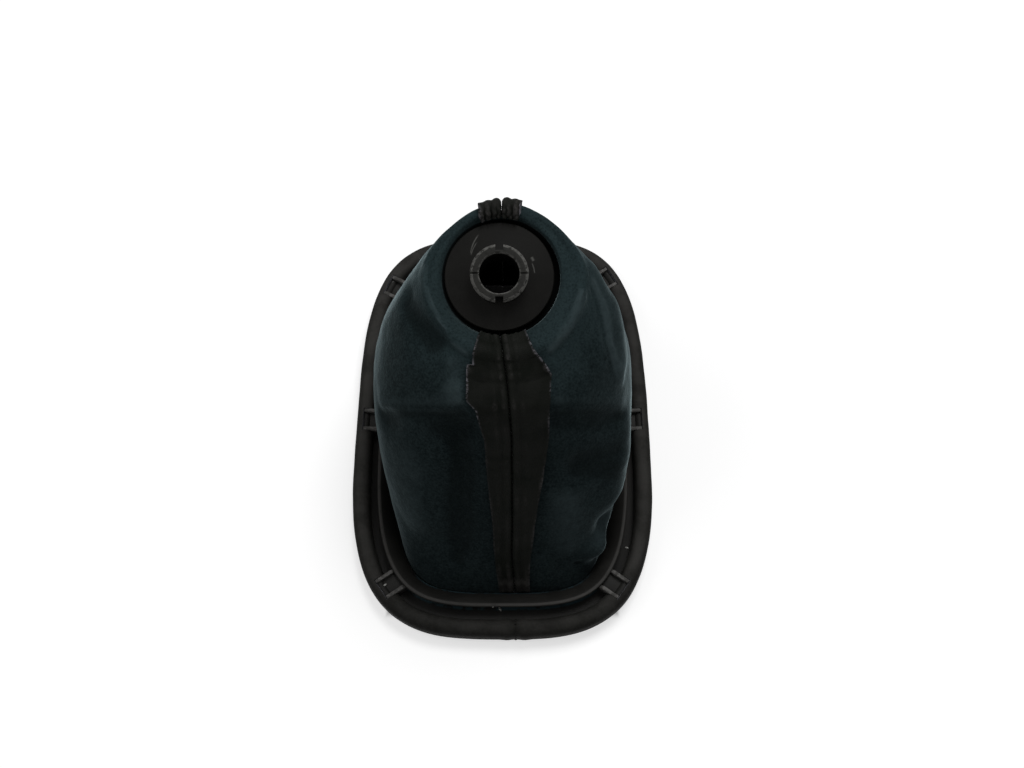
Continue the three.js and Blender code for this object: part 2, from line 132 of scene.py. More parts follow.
# Folds, as a line of points, width and height
folds = [
    (((-34, 21, 96), (-23, 3, 99)), 5, -1.6),
    (((-18, -5, 98), (-17, -12, 95)), 4.5, 1.2),
    (((32.5, 31, 98), (43, 2, 76)), 4.6, 1.8),
    (((40, 22, 86), (45, 8, 74)), 5, 1.2),
    (((-44, -8, 66), (-14, -18, 94)), 5, 1.2),
    (((14, -17.4, 93.7), (43, -8, 68)), 5, 1),
    (((-42, -14, 63), (-14, -24, 83)), 6.5, -1.6),
    (((19, -22, 83), (41, -15, 66)), 6, -1.3),
    (((-34, -20, 70), (-32, -42, 34)), 8, 1.4),
    (((-14, -31, 71), (-16, -51, 30)), 7, -1.6),
    (((28, -30, 62), (42, -22, 54)), 6, -1.6),
    (((24, -40, 48), (26, -50, 26)), 9, 1.2),
    (((38, -41, 20), (35.5, -49, 14)), 6, 1.8),
]

# Finer creases of the flesh side
creases = [
    (((-27.3, 29, 106.5), (-27.6, 22.1, 106.4), (-25, 14.6, 105.6), (-21.3, 7.4, 104.4),
      (-17.8, 1.6, 102.2), (-12, -2.7, 101.5)), 0.9, 0.6),
    (((-29.2, 25, 105.8), (-28.2, 17, 105.2), (-24.8, 8.4, 103.6), (-20.6, 1.5, 101)), 0.8, 0.28),
    (((-34.6, 18.9, 93.1), (-30.3, 10.5, 96.5), (-25.1, 2.5, 97.1)), 2.4, -0.5),
    (((28.9, 19.4, 106.2), (27.1, 12.8, 105.2), (24.6, 7.5, 103.9), (17.4, -1.1, 101.3)), 1.7, 0.55),
    (((32.8, 24.8, 101.6), (36.6, 18.8, 95.4), (38.1, 13.4, 92), (39.2, 6.1, 87.7),
      (41.6, 0.7, 81.2), (44.6, -1.8, 72.1)), 2, 0.6),
    (((30.6, 23, 103.6), (33.2, 15.6, 99), (35.2, 8, 93.2), (37.2, 2, 87)), 1, 0.22),
    (((-45.7, -7.9, 62.5), (-37.4, -12.5, 76.6), (-26, -15.5, 86.1), (-14.2, -17.1, 92.8)), 1.5, 0.12),
    (((19.6, -16.5, 92.1), (28.4, -14.7, 86.3), (38, -12, 76.4), (44.9, -8.8, 63.9)), 1.5, 0.1),
    (((-45.2, -10.6, 59.8), (-36.9, -15.3, 73.6), (-25.6, -18.6, 82.6), (-14.4, -20.6, 88.6)), 2.4, -0.5),
    (((19.8, -20.2, 87.6), (28.8, -18, 82.3), (37.6, -15, 73.2), (44.6, -11.4, 61)), 2.4, -0.45),
    (((-16.2, -21.5, 83.7), (-15.2, -33.8, 62.3), (-16, -45.9, 38), (-17.1, -56.2, 18.2)), 3, -0.5),
    (((28.4, -31.7, 58.3), (36.9, -30.2, 51.1), (44.2, -26, 40.4)), 3.5, -0.6),
    (((28.6, -55.8, 12.6), (29.6, -55.9, 12.1)), 1.4, -0.8),
]

# Fuller and hollow places low on the right side
bulges = [
    (((43.8, -18.8, 52.5), (43.7, -25.6, 42.8), (42.4, -32, 33.8)), 9, 3.2),
    (((38.8, -41.8, 22.6), (37.8, -45, 19.5)), 4.2, -3.2),
    (((36.9, -49.4, 15), (36.6, -51.4, 11)), 5, 3.9),
]

frontSeamX = (-0.8, -0.8, -0.7, 0.5, 1.9, 3.6, 3.8, 3.7)  # at even steps down the sleeve
rearSeamX = (-0.3, -0.3, -0.2, 0, 0, 0, 0, 0)

# Widths of the folded-back allowances, as station and width
allowances = {
    (-1, -1): ((4.05, 7.8), (5, 9.4), (6, 10.7), (7.15, 11.7), (7.3, 14.1), (8, 14.8), (8.8, 15.2),
               (9.05, 12), (10, 9.6), (11, 8.8), (12, 7.4), (13, 6.5), (13.65, 6.3)),
    (-1, 1): ((4.05, 10), (5, 10.5), (6, 11.2), (7.15, 13.8), (8, 16.2), (9.05, 13.8), (10, 13),
              (11, 10.8), (12, 8.6), (13, 7), (13.65, 6.3)),
    (1, -1): ((4.05, 7.8), (5, 8.2), (8, 8), (13.65, 6.5)),
    (1, 1): ((4.05, 6.6), (5, 6.8), (8, 7), (13.65, 6.5)),
}

# Creases across the front allowances, as station, width and height
allowanceCreases = (
    (5.3, 0.1, -0.25), (6.25, 0.12, 0.4), (6.55, 0.1, -0.55), (7.6, 0.16, 0.25), (7.95, 0.12, -0.35),
    (8.9, 0.12, 0.2), (10.35, 0.06, -0.3), (10.5, 0.05, 0.25), (10.85, 0.05, -0.2), (12.9, 0.12, -0.3),
)

# Ridges along all allowances, as distance from the seam, width and height
allowanceRidges = ((1.8, 0.8, 0.36), (4.9, 0.9, 0.26), (3.3, 0.7, -0.2))


# The skin of the sleeve

def superellipse(angle, halfWidth, halfLength, square):
    across = np.abs(np.cos(angle) / halfWidth) ** square
    lengthways = np.abs(np.sin(angle) / halfLength) ** square
    return (across + lengthways) ** (-1 / square)


def frameOutline(angle):
    farShare = 0.5 + 0.5 * np.tanh(3 * np.sin(angle))
    square = frameShape["nearSquare"] + (frameShape["farSquare"] - frameShape["nearSquare"]) * farShare
    radius = superellipse(angle, frameShape["halfWidth"], frameShape["halfLength"], square)
    y = radius * np.sin(angle)
    x = radius * np.cos(angle) * (1 - frameShape["taper"] * y / frameShape["halfLength"])
    return np.stack([x, y], axis=-1)


def inwards(angle):
    tangent = frameOutline(angle + 1e-3) - frameOutline(angle - 1e-3)
    tangent /= np.linalg.norm(tangent, axis=-1, keepdims=True)
    return np.stack([-tangent[..., 1], tangent[..., 0]], axis=-1)


def onFrame(angle, inset, height):
    angle, inset, height = np.broadcast_arrays(angle, inset, height)
    low, high = frameShape["rimWidth"], frameShape["lipInset"]
    lipShare = np.clip((inset - low) / (high - low), 0, 1)
    extra = frameShape["frontInset"] * lipShare * np.maximum(0, -np.sin(angle)) ** 2
    flat = frameOutline(angle) + inwards(angle) * (inset + extra)[..., None]
    return np.concatenate([flat, height[..., None]], axis=-1)


def arcPoints(centre, radius, start, end, steps):
    turn = np.radians(np.linspace(start, end, steps + 1))
    return np.stack([centre[0] + radius * np.cos(turn), centre[1] + radius * np.sin(turn)], axis=-1)


def wrapLine(offset):
    # from the opening, under the frame and up over its rim, as inset and height
    half = leather["thickness"] / 2
    corner, base = frameShape["openingCorner"], frameShape["baseCorner"]
    roll = (frameShape["rimWidth"] - leather["thickness"]) / 2
    opening = frameShape["openingInset"] + leather["gap"] + half - corner
    return np.concatenate([
        arcPoints((opening, half + corner), corner - offset, 0, -90, 8),
        arcPoints((half + base, half + base), base - offset, -90, -180, 8),
        arcPoints((frameShape["rimWidth"] / 2, frameShape["rimHeight"] - half - roll), roll - offset, 180, 0, 18),
    ])


wrapPoints = wrapLine(0)
wrapPoints = np.concatenate([wrapPoints, wrapPoints[-1:] - [[0.25, frameShape["hem"]]]])
wrapLengths = np.concatenate([[0], np.cumsum(np.linalg.norm(np.diff(wrapPoints, axis=0), axis=1))])
collarFrame = Matrix.Translation(collarShape["place"]) @ Matrix.Rotation(radians(collarShape["tilt"]), 4, "X")


def meridianKnots(angle):
    knots = []
    turn = np.array(collarFrame.to_3x3())
    for radius, height in collarRings:
        local = np.stack([radius * np.cos(angle), radius * np.sin(angle), np.full(angle.shape, height)], axis=-1)
        knots.append(local @ turn.T + collarShape["place"])
    facing = np.sin(angle)
    front = facing < 0
    for left, right, sideY, sideZ, frontY, frontZ, rearY, rearZ, nearSquare, farSquare in bodyRings:
        endY, endZ = np.where(front, frontY, rearY), np.where(front, frontZ, rearZ)
        square = np.where(front, nearSquare, farSquare)
        radius = superellipse(angle, (right - left) / 2, np.abs(endY - sideY), square)
        height = sideZ + (endZ - sideZ) * facing ** 2
        across = (left + right) / 2 + radius * np.cos(angle)
        knots.append(np.stack([across, sideY + radius * facing, height], axis=-1))
    knots.append(onFrame(angle, wrapPoints[0][0], wrapPoints[0][1]))
    return np.stack(knots)


def smoothSkin(station, angle):
    # a centripetal curve through the rings, and the wrap round the frame below the root
    shape = np.broadcast(station, angle).shape
    station, angle = (np.array(part, float).ravel() for part in np.broadcast_arrays(station, angle))
    knots = meridianKnots(angle)
    level = np.clip(station, 0, rootStation)
    low = np.minimum(np.floor(level), rootStation - 1).astype(int)
    share = (level - low)[:, None]

    def knot(index):
        return np.take_along_axis(knots, np.clip(index, 0, rootStation)[None, :, None], axis=0)[0]

    second, third = knot(low), knot(low + 1)
    first = np.where((low == 0)[:, None], 2 * second - third, knot(low - 1))
    fourth = np.where((low == rootStation - 1)[:, None], 2 * third - second, knot(low + 2))
    before, within, after = (np.sqrt(np.linalg.norm(end - start, axis=1, keepdims=True))
                             for start, end in ((first, second), (second, third), (third, fourth)))
    leave = (second - first) / before - (third - first) / (before + within) + (third - second) / within
    reach = (third - second) / within - (fourth - second) / (within + after) + (fourth - third) / after
    leave, reach = leave * within, reach * within
    points = (second + leave * share + (3 * (third - second) - 2 * leave - reach) * share ** 2
              + (2 * (second - third) + leave + reach) * share ** 3)
    wrapped = station > rootStation
    if wrapped.any():
        along = np.clip(station[wrapped] - rootStation, 0, 1) * wrapLengths[-1]
        inset = np.interp(along, wrapLengths, wrapPoints[:, 0])
        height = np.interp(along, wrapLengths, wrapPoints[:, 1])
        points[wrapped] = onFrame(angle[wrapped], inset, height)
    return points.reshape(shape + (3,))


def normalOf(surface, station, angle):
    step = 1e-3
    station = np.clip(station, 2 * step, rootStation + 0.998)
    down = surface(station + step, angle) - surface(station - step, angle)
    around = surface(station, angle + step) - surface(station, angle - step)
    normal = np.cross(down, around)
    return normal / np.linalg.norm(normal, axis=-1, keepdims=True)


def ridgeHeight(points, ridges):
    total = np.zeros(points.shape[:-1])
    for line, width, height in ridges:
        nearest = np.full(total.shape, np.inf)
        for start, end in zip(line, line[1:]):
            start, way = np.array(start, float), np.subtract(end, start)
            share = np.clip((points - start) @ way / (way @ way), 0, 1)
            nearest = np.minimum(nearest, np.linalg.norm(points - start - share[..., None] * way, axis=-1))
        total += height * np.exp(-(nearest / width) ** 2)
    return total


def skin(station, angle):
    points = smoothSkin(station, angle)
    height = np.where(np.broadcast_to(station, points.shape[:-1]) > rootStation, 0, ridgeHeight(points, folds))
    return points + normalOf(smoothSkin, station, angle) * height[..., None]


def unevenness(points, size, shift):
    flat = points.reshape(-1, 3) / size + shift
    return np.array([noise.noise(Vector(point)) for point in flat]).reshape(points.shape[:-1])


def between(value, start, end):
    share = np.clip((np.asarray(value, float) - start) / (end - start), 0, 1)
    return share * share * (3 - 2 * share)


def seamAngle(side, station):
    # side is -1 for the front seam and 1 for the rear one
    level = np.minimum(station, rootStation)
    middle = side * pi / 2
    centre = skin(level, middle)
    radius = np.abs(centre[..., 1] - skin(level, 0)[..., 1])
    line = frontSeamX if side < 0 else rearSeamX
    seamX = np.interp(level / rootStation, np.linspace(0, 1, len(line)), line)
    offset = (seamX - centre[..., 0]) / np.maximum(radius, 12)
    return middle - side * np.arcsin(np.clip(offset, -0.9, 0.9))


def angleFor(length, side, station):
    level = np.minimum(station, rootStation)
    step = 1e-2
    span = skin(level, side * pi / 2 + step) - skin(level, side * pi / 2 - step)
    return length * 2 * step / np.linalg.norm(span, axis=-1)


def rowsDown():
    # stations for rows of even height
    fine = np.linspace(0, rootStation, 1401)
    spots = smoothSkin(fine[:, None], np.linspace(0, 2 * pi, 12, endpoint=False)[None, :])
    down = np.linalg.norm(np.diff(spots, axis=0), axis=2).max(axis=1)
    length = np.concatenate([[0], np.cumsum(down)])
    body = np.interp(np.linspace(0, length[-1], int(length[-1] / leather["step"])), length, fine)
    wrap = rootStation + np.linspace(0, 1, int(wrapLengths[-1] / 0.75))[1:]
    return np.concatenate([body, wrap])


def gridObject(name, rows, columns, placeAt):
    # rows run from the bottom up, so that the faces point outwards
    grid = bmesh.new()
    bmesh.ops.create_grid(grid, x_segments=columns - 1, y_segments=rows - 1, size=0.5)
    mesh = meshFrom(grid, name)
    flat = np.empty(len(mesh.vertices) * 3)
    mesh.vertices.foreach_get("co", flat)
    column = np.rint((flat[0::3] + 0.5) * (columns - 1)).astype(int)
    row = np.rint((flat[1::3] + 0.5) * (rows - 1)).astype(int)
    points, marks = placeAt
    mesh.vertices.foreach_set("co", (points[row, column] * mm).ravel())
    for title, values in marks.items():
        mesh.attributes.new(title, "FLOAT", "POINT").data.foreach_set("value", values[row, column].ravel())
    return linked(name, mesh)


def seamReach(side, station):
    # how far a panel's edge is from the middle of the seam
    top, bottom = leather["folded"][side]
    folded = between(station, top - 0.04, top) * (1 - between(station, bottom, bottom + 0.04))
    flat = np.where(station > bottom, leather["rimSlot"], leather["slot"][side]) / 2
    return flat + folded * (leather["thickness"] / 2 + leather["turn"])


def allowanceWidth(side, hand, station):
    stations, widths = zip(*allowances[side, hand])
    ragged = [0.14 * noise.noise(Vector((value * 5, side, hand))) for value in station]
    return np.interp(station, stations, widths) + np.array(ragged)


def panelShape(hand, rows):
    # hand is 1 for the right panel and -1 for the left
    station = rows[::-1]
    startSide = -hand
    start = seamAngle(startSide, station)
    end = seamAngle(-startSide, station) + (2 * pi if hand < 0 else 0)
    steps = np.array([0, 0.2, 0.45, 0.8, 1.2, 1.8, 2.6, 3.6])
    near, far = seamReach(startSide, station), seamReach(-startSide, station)
    fromStart = np.stack([start + angleFor(near + step, startSide, station) for step in steps], axis=1)
    toEnd = np.stack([end - angleFor(far + step, -startSide, station) for step in steps[::-1]], axis=1)
    share = np.linspace(0, 1, leather["columns"])[1:-1]
    share = share + 0.1 / pi * np.sin(4 * pi * share)
    middle = fromStart[:, -1:] + (toEnd[:, :1] - fromStart[:, -1:]) * share
    angle = np.concatenate([fromStart, middle, toEnd], axis=1)
    fromSeam = np.full(angle.shape, 99.0)
    fromSeam[:, :len(steps)] = steps
    fromSeam[:, -len(steps):] = steps[::-1]
    waves = [noise.noise(Vector((3 * cos(turn), 3 * sin(turn), hand)))
             + 0.4 * noise.noise(Vector((16 * cos(turn), 16 * sin(turn), hand))) for turn in angle[0]]
    level = np.broadcast_to(station[:, None], angle.shape).copy()
    onWrap = level > rootStation
    level = np.where(onWrap, rootStation + (level - rootStation) * (0.98 + 0.02 * np.array(waves)), level)
    points = skin(level, angle)
    normal = normalOf(skin, level, angle)

    # creases and unevenness, which fade out below the allowances and under the disc
    detail = ridgeHeight(points, creases)
    soft = unevenness(points, 15, 3) + 0.45 * unevenness(points, 6, 9)
    shown = between(level, 3.2, 4.6)
    for side in (-1, 1):
        width = allowanceWidth(side, hand, station)
        seam = start if side == startSide else end
        away = np.abs(angle - seam[:, None]) / angleFor(1, side, station)[:, None]
        shown = shown * between(away - width[:, None], -0.5, 3)
    shown = np.where(onWrap, 0.55, shown)
    fuller = ridgeHeight(points, bulges) * between(level, 13.8, 13.2)
    height = (detail + leather["soften"] * soft + fuller) * shown

    # the leather stands close to the disc at the left, and away from it at the right and in front
    towards, closer, away = leather["lean"]
    lean = np.cos(angle - radians(towards))
    height += np.exp(-((level - 3) / 0.7) ** 2) * np.where(lean > 0, closer * lean, away * lean)

    # the turned edges of the leather at the seam on the rim, with the allowances inside
    low = between(level, 13.7, 13.9)
    edge = np.clip(1 - fromSeam / 1.1, 0, 1)
    height += low * leather["rimGroove"] * (1 - np.sqrt(1 - edge ** 2))
    fromSeamFar = np.minimum(np.abs(angle - start[:, None]) / angleFor(1, startSide, station)[:, None],
                             np.abs(end[:, None] - angle) / angleFor(1, -startSide, station)[:, None])
    height -= low * 0.4 * np.exp(-((fromSeamFar - 3.4) / 1.8) ** 2)
    height *= between(points[..., 2], 1, 4)  # flat where it lies on the surface
    points = points + normal * height[..., None]
    for _ in range(8):  # rows that crowd together over the crest are evened out
        apart = np.linalg.norm(np.diff(points, axis=0), axis=-1)
        crowded = between(np.minimum(apart[1:], apart[:-1]), 0.55, 0.25) * (level[1:-1] < 8)
        points[1:-1] += 0.5 * crowded[..., None] * ((points[2:] + points[:-2]) / 2 - points[1:-1])
    # the ridge mark drives painted highlights on ridges and painted shade in hollows
    ridge = (ridgeHeight(points, folds) * 0.35 + detail * 1.2 + 0.5 * leather["soften"] * soft) * shown
    discEdge = 3.15 - 0.25 * lean  # painted shadow under the edge of the disc
    ridge = np.clip(ridge, -0.5, 0.6) - 1.3 * between(level, discEdge + 0.5, discEdge)
    return points, {"ridge": np.where(onWrap, soft * 0.3, ridge), "frayed": np.zeros(angle.shape)}


def allowanceShape(side, hand, rows):
    # the leather turns over at the seam and lies back on its own panel
    top, bottom = leather["folded"][side]
    station = np.unique(np.concatenate([[top, bottom], rows[(rows > top) & (rows < bottom)],
                                        np.linspace(7.1, 7.35, 6), np.linspace(8.75, 9.1, 6)]))[::-1]
    turn = leather["turn"]
    centre = leather["slot"][side] / 2 + leather["thickness"] / 2 + turn
    curl = np.radians(np.linspace(0, 180, 9))
    share = np.sin(np.linspace(0, 1, 34)[1:] * pi / 2) ** 1.1  # closer together towards the free edge
    width = allowanceWidth(side, hand, station) - leather["slot"][side] / 2
    flat = centre + (width[:, None] - centre) * share
    away = np.concatenate([np.broadcast_to(centre - turn * np.sin(curl), (len(station), len(curl))), flat], axis=1)
    lift = np.concatenate([np.broadcast_to(turn - turn * np.cos(curl), (len(station), len(curl))),
                           np.full(flat.shape, 2 * turn)], axis=1)
    onTop = np.concatenate([between(np.degrees(curl), 60, 180), np.ones(flat.shape[1])])
    lift = lift + onTop * leather["lift"]
    sign = 1 if side == -hand else -1
    ragged = unevenness(np.stack([away, away * 0, away * 0], axis=-1), 1.1, 5 * hand + side)
    level = station[:, None] + between(station, top + 0.5, top)[:, None] * (0.12 + 0.16 * ragged)
    angle = seamAngle(side, station)[:, None] + sign * angleFor(away, side, station[:, None])
    spots = skin(level, angle)
    normal = normalOf(skin, level, angle)

    relief = sum(height * np.exp(-((away - place) / spread) ** 2) for place, spread, height in allowanceRidges)
    across = np.zeros(len(station))
    if side < 0:
        for place, spread, height in allowanceCreases:
            across += height * np.exp(-((station - place) / spread) ** 2)
    along = np.broadcast_to(station[:, None] * 9, away.shape)
    wander = unevenness(np.stack([away * 0.8, along, away * 0], axis=-1), 6, hand)
    relief += across[:, None] * np.clip(0.7 + wander, 0.2, 1.4)
    relief += 0.24 * unevenness(spots, 7, 20 + hand) + 0.05 * unevenness(spots, 2.6, 30 + side)
    freeEdge = between(away, width[:, None] - 2.2, width[:, None])
    relief += freeEdge * (0.25 + 0.5 * wander)
    rear = between(station, 6.5, 4.6)[:, None] if side > 0 else 0
    relief += rear * 0.6 * np.sin(away * 2.7 + 3 * wander)  # bunched up over the crest
    height = lift + onTop * np.maximum(relief, -leather["lift"])
    # the ridge mark drives painted highlights on ridges and painted shade in creases
    ridge = onTop * (relief - 0.1) * 1.25
    frayed = between(away, width[:, None] - 0.7, width[:, None] - 0.2) * np.clip(0.6 + 2.5 * wander, 0, 1)
    frayed *= between(station, 10.2, 8.8)[:, None] * 0.8 + 0.12
    points = spots + normal * height[..., None]
    if sign > 0:
        points, ridge, frayed = points[:, ::-1], ridge[:, ::-1], frayed[:, ::-1]
    return points, {"ridge": ridge, "frayed": frayed}


def cutNotches(item):
    # the leather of the rim is cut away round each pair of ribs
    shape = bmesh.new()
    shape.from_mesh(item.data)
    side = (ribs["spacing"] + ribs["thickness"]) / 2 + ribs["notchGap"]
    outer, foot = ribs["inset"] - ribs["notchGap"], ribs["notchFoot"]
    for turn in ribs["pairs"]:
        angle = np.radians(turn)
        base = Vector((*frameOutline(angle), 0)) * mm
        inward = Vector((*inwards(angle), 0))
        along = Vector((-inward.y, inward.x, 0))

        def inside(face, room):
            spot = (face.calc_center_median() - base) / mm
            deep, aside = spot.dot(inward), abs(spot.dot(along))
            return aside < side + room and outer - room < deep < ribs["notchDepth"] and spot.z > foot - room

        cuts = [(base + along * side * mm, along), (base - along * side * mm, along),
                (base + inward * outer * mm, inward), (Vector((0, 0, foot * mm)), Vector((0, 0, 1)))]
        for place, facing in cuts:
            near = [face for face in shape.faces if inside(face, 1.6)]
            around = set(near)
            for face in near:
                around.update(face.edges)
                around.update(face.verts)
            bmesh.ops.bisect_plane(shape, geom=list(around), dist=1e-6, plane_co=place, plane_no=facing)
        bmesh.ops.delete(shape, geom=[face for face in shape.faces if inside(face, 0)], context="FACES")
    shape.to_mesh(item.data)
    shape.free()


def joined(items, name):
    shape = bmesh.new()
    for item in items:
        shape.from_mesh(item.data)
    mesh = meshFrom(shape, name)
    for item in items:
        bpy.data.objects.remove(item)
    return linked(name, mesh)


def apply(item, sharp):
    # modifiers go into the mesh, which then shades smoothly between its sharp edges
    graph = bpy.context.evaluated_depsgraph_get()
    graph.update()
    mesh = bpy.data.meshes.new_from_object(item.evaluated_get(graph))
    item.modifiers.clear()
    item.data = mesh
    mesh.name = item.name
    mesh.shade_smooth()
    mesh.set_sharp_from_angle(angle=radians(sharp))


def leatherPiece(name, hand, rows):
    panel = gridObject("panel", len(rows), leather["columns"] + 14, panelShape(hand, rows))
    cutNotches(panel)
    strips = []
    for side in (-1, 1):
        shape = allowanceShape(side, hand, rows)
        strips.append(gridObject("allowance", *shape[0].shape[:2], shape))
    piece = joined([panel] + strips, name)
    area = sum(face.area for face in piece.data.polygons)
    for finish in (fleshSide, grainSide, cutEdge):
        piece.data.materials.append(finish)
    wall = piece.modifiers.new("leather", "SOLIDIFY")
    wall.thickness = leather["thickness"] * mm
    wall.offset = 0
    wall.material_offset = 1
    wall.material_offset_rim = 2
    apply(piece, 50)
    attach(piece, "root")
    print(name, "takes", round(area * 1e4, 1), "square centimetres of leather")
    return piece, area


# Materials

class Wire:  # an output of a node, with arithmetic that adds the nodes it needs
    def __init__(self, tree, socket=None):
        self.tree = tree
        self.socket = socket

    def feed(self, socket, value):
        if isinstance(value, Wire):
            self.tree.links.new(value.socket, socket)
        else:
            socket.default_value = value

    def node(self, kind, settings, values, output=0):
        made = self.tree.nodes.new("ShaderNode" + kind)
        for title, value in settings.items():
            setattr(made, title, value)
        for title, value in values.items():
            self.feed(made.inputs[title], value)
        return Wire(self.tree, made.outputs[output])

    def maths(self, operation, first, second):
        return self.node("Math", {"operation": operation}, {0: first, 1: second})

    def __add__(self, other):
        return self.maths("ADD", self, other)

    def __sub__(self, other):
        return self.maths("SUBTRACT", self, other)

    def __rsub__(self, other):
        return self.maths("SUBTRACT", other, self)

    def __mul__(self, other):
        return self.maths("MULTIPLY", self, other)

    def __truediv__(self, other):
        return self.maths("DIVIDE", self, other)

    def __pow__(self, other):
        return self.maths("POWER", self, other)

    def __abs__(self):
        return self.maths("ABSOLUTE", self, 0)

    __radd__ = __add__
    __rmul__ = __mul__

    def ramp(self, low, high, toLow=0.0, toHigh=1.0):
        return self.node("MapRange", {"interpolation_type": "SMOOTHSTEP"},
                         {"Value": self, "From Min": low, "From Max": high, "To Min": toLow, "To Max": toHigh})

    def mix(self, first, second):
        return self.node("Mix", {"data_type": "RGBA"}, {0: self, 6: first, 7: second}, 2)

    def specks(self, scale, detail=2.0, rough=0.5):
        return self.node("TexNoise", {}, {"Vector": self, "Scale": scale, "Detail": detail, "Roughness": rough})

    def cells(self, scale):
        return self.node("TexVoronoi", {"feature": "DISTANCE_TO_EDGE"}, {"Vector": self, "Scale": scale})

    def stretched(self, x, y, z):
        return self.node("VectorMath", {"operation": "MULTIPLY"}, {0: self, 1: (x, y, z)})

    def mark(self, name):
        return self.node("Attribute", {"attribute_name": name}, {}, 2)

    def part(self, letter):
        return self.node("SeparateXYZ", {}, {"Vector": self}, "XYZ".index(letter))


def newFinish(name, paint, constants):
    # paint gives colour, roughness and a list of bumps as height, strength and distance
    material = bpy.data.materials.new(name)
    material.use_nodes = True
    tree = material.node_tree
    shader = tree.nodes["Principled BSDF"]
    start = Wire(tree)
    place = start.node("TexCoord", {}, {}, 3)
    colour, rough, bumps = paint(start, place)
    start.feed(shader.inputs["Base Color"], colour)
    start.feed(shader.inputs["Roughness"], rough)
    below = {}
    for height, strength, distance in bumps:
        values = {"Height": height, "Strength": strength, "Distance": distance, **below}
        below = {"Normal": start.node("Bump", {}, values)}
    start.feed(shader.inputs["Normal"], below["Normal"])
    for title, value in constants.items():
        shader.inputs[title].default_value = value
    return material


suede = {"dark": (0.0044, 0.0074, 0.0080, 1), "light": (0.0170, 0.0255, 0.0270, 1),
         "wearAndHighlight": (0.040, 0.056, 0.060, 1), "hollow": (0.0036, 0.0048, 0.0048, 1),
         "discShadow": (0.0012, 0.0014, 0.0014, 1), "crest": (0.0195, 0.0315, 0.0340, 1)}


def paintSuede(start, place):
    ridge = start.mark("ridge")
    nap = place.specks(1250, 3, 0.6)
    mottle = place.specks(430, 3, 0.55)
    cloud = place.specks(52, 3, 0.5)
    tone = nap * 0.62 + mottle * 0.26 + cloud * 0.2
    colour = tone.ramp(0.38, 0.73).mix(suede["dark"], suede["light"])
    crestLight = (place.part("Z") + cloud * 0.016).ramp(0.090, 0.116) * nap.ramp(0.25, 0.62, 0.35, 1.0)
    colour = (crestLight * 0.85).mix(colour, suede["crest"])  # painted light: the nap is paler higher up, over the crest
    # painted highlight on the ridges of the suede, with some wear
    colour = (ridge.ramp(0.12, 0.75) * (0.35 + mottle * 0.6)).mix(colour, suede["wearAndHighlight"])
    # painted shade in the hollows and creases of the suede
    colour = (ridge.ramp(-0.05, -0.7) * 0.7).mix(colour, suede["hollow"])
    # painted shadow under the edge of the disc
    colour = ridge.ramp(-0.7, -1.1).mix(colour, suede["discShadow"])
    rough = 0.82 + nap * 0.2
    return colour, rough, [(mottle, 0.35, 0.0004), (nap, 0.7, 0.00018)]


grain = {"dark": (0.0078, 0.0078, 0.0070, 1), "light": (0.0175, 0.0173, 0.0160, 1),
         "wearAndHighlight": (0.036, 0.034, 0.033, 1), "hollow": (0.0010, 0.0012, 0.0010, 1),
         "allowanceShade": (0.0030, 0.0038, 0.0028, 1), "rimTop": (0.036, 0.035, 0.033, 1), "frayed": (0.105, 0.102, 0.114, 1)}


def paintGrain(start, place):
    ridge = start.mark("ridge")
    wobble = place.node("TexNoise", {}, {"Vector": place, "Scale": 420.0}, 1).stretched(0.0006, 0.0006, 0.0006)
    warped = place.node("VectorMath", {"operation": "ADD"}, {0: place, 1: wobble})
    pores = warped.cells(1250).ramp(0.0, 0.16)
    blotch = place.specks(90, 4, 0.6)
    fine = place.specks(900, 3, 0.6)
    colour = (blotch * 0.6 + fine * 0.4).ramp(0.35, 0.7).mix(grain["dark"], grain["light"])
    height = place.part("Z")
    rimTopHighlight = height.ramp(0.0084, 0.0100) * place.part("Y").ramp(-0.072, -0.050, 0.35, 1.0)  # painted highlight along the top of the rim, less of it in front
    colour = (rimTopHighlight * blotch.ramp(0.3, 0.6, 0.3, 0.85)).mix(colour, grain["rimTop"])
    inside = height.ramp(0.0104, 0.0130) * height.ramp(0.116, 0.108, 0.85, 1.0)  # painted shade: the allowances, which face forwards, are darker
    colour = (inside * blotch.ramp(0.25, 0.6, 1.0, 0.85)).mix(colour, grain["allowanceShade"])
    # painted highlight on the ridges of the grain side, with some wear
    colour = (ridge.ramp(0.12, 0.8) * fine.ramp(0.35, 0.65, 0.2, 0.8)).mix(colour, grain["wearAndHighlight"])
    # painted shade in the creases of the grain side
    colour = (ridge.ramp(-0.35, -0.75) * 0.8).mix(colour, grain["hollow"])
    frayed = start.mark("frayed")
    colour = (frayed * fine.ramp(0.4, 0.56)).mix(colour, grain["frayed"])
    rough = 0.62 - pores * 0.1 + blotch * 0.12
    return colour, rough, [(blotch, 0.3, 0.0006), (pores, 0.45, 0.00006)]


cutLeather = {"dark": (0.030, 0.032, 0.036, 1), "light": (0.140, 0.136, 0.152, 1)}


def paintCut(start, place):
    fibre = place.specks(1800, 4, 0.7)
    broad = place.specks(200, 2)
    colour = (fibre * 0.6 + broad * 0.4).ramp(0.36, 0.66).mix(cutLeather["dark"], cutLeather["light"])
    return colour, 0.9 + fibre * 0.05, [(fibre, 0.8, 0.00015)]


frameFinish = {"dark": (0.0062, 0.0062, 0.0056, 1), "light": (0.0125, 0.0122, 0.0112, 1),
               "lipEdge": (0.034, 0.033, 0.031, 1), "lint": (0.0180, 0.0340, 0.0400, 1),
               "rib": (0.034, 0.033, 0.031, 1), "ribScuffAndHighlight": (0.085, 0.083, 0.080, 1)}


